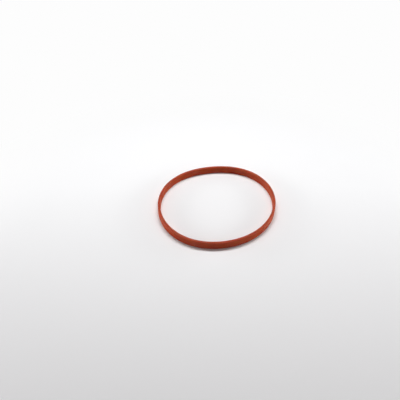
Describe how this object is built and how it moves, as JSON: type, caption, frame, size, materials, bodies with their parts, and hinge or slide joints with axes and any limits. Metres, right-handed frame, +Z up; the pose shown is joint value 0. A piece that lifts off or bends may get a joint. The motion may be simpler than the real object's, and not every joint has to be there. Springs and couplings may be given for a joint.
{
  "type": "intake manifold gasket",
  "caption": "Moulded silicone-rubber ring with a tall rectangular section and two flat sealing faces, pressed on edge into a flange groove to seal an intake port.",
  "frame": {"origin": "middle of the ring's box on its lower sealing face", "axes": "+Z up along the ring's axis, +X along the long way of its slightly oval plan"},
  "size_m": [0.0834, 0.0762, 0.0056],
  "materials": {
    "silicone": "satin"
  },
  "bodies": {
    "root": {"gasket_ring": "silicone"}
  },
  "joints": []
}
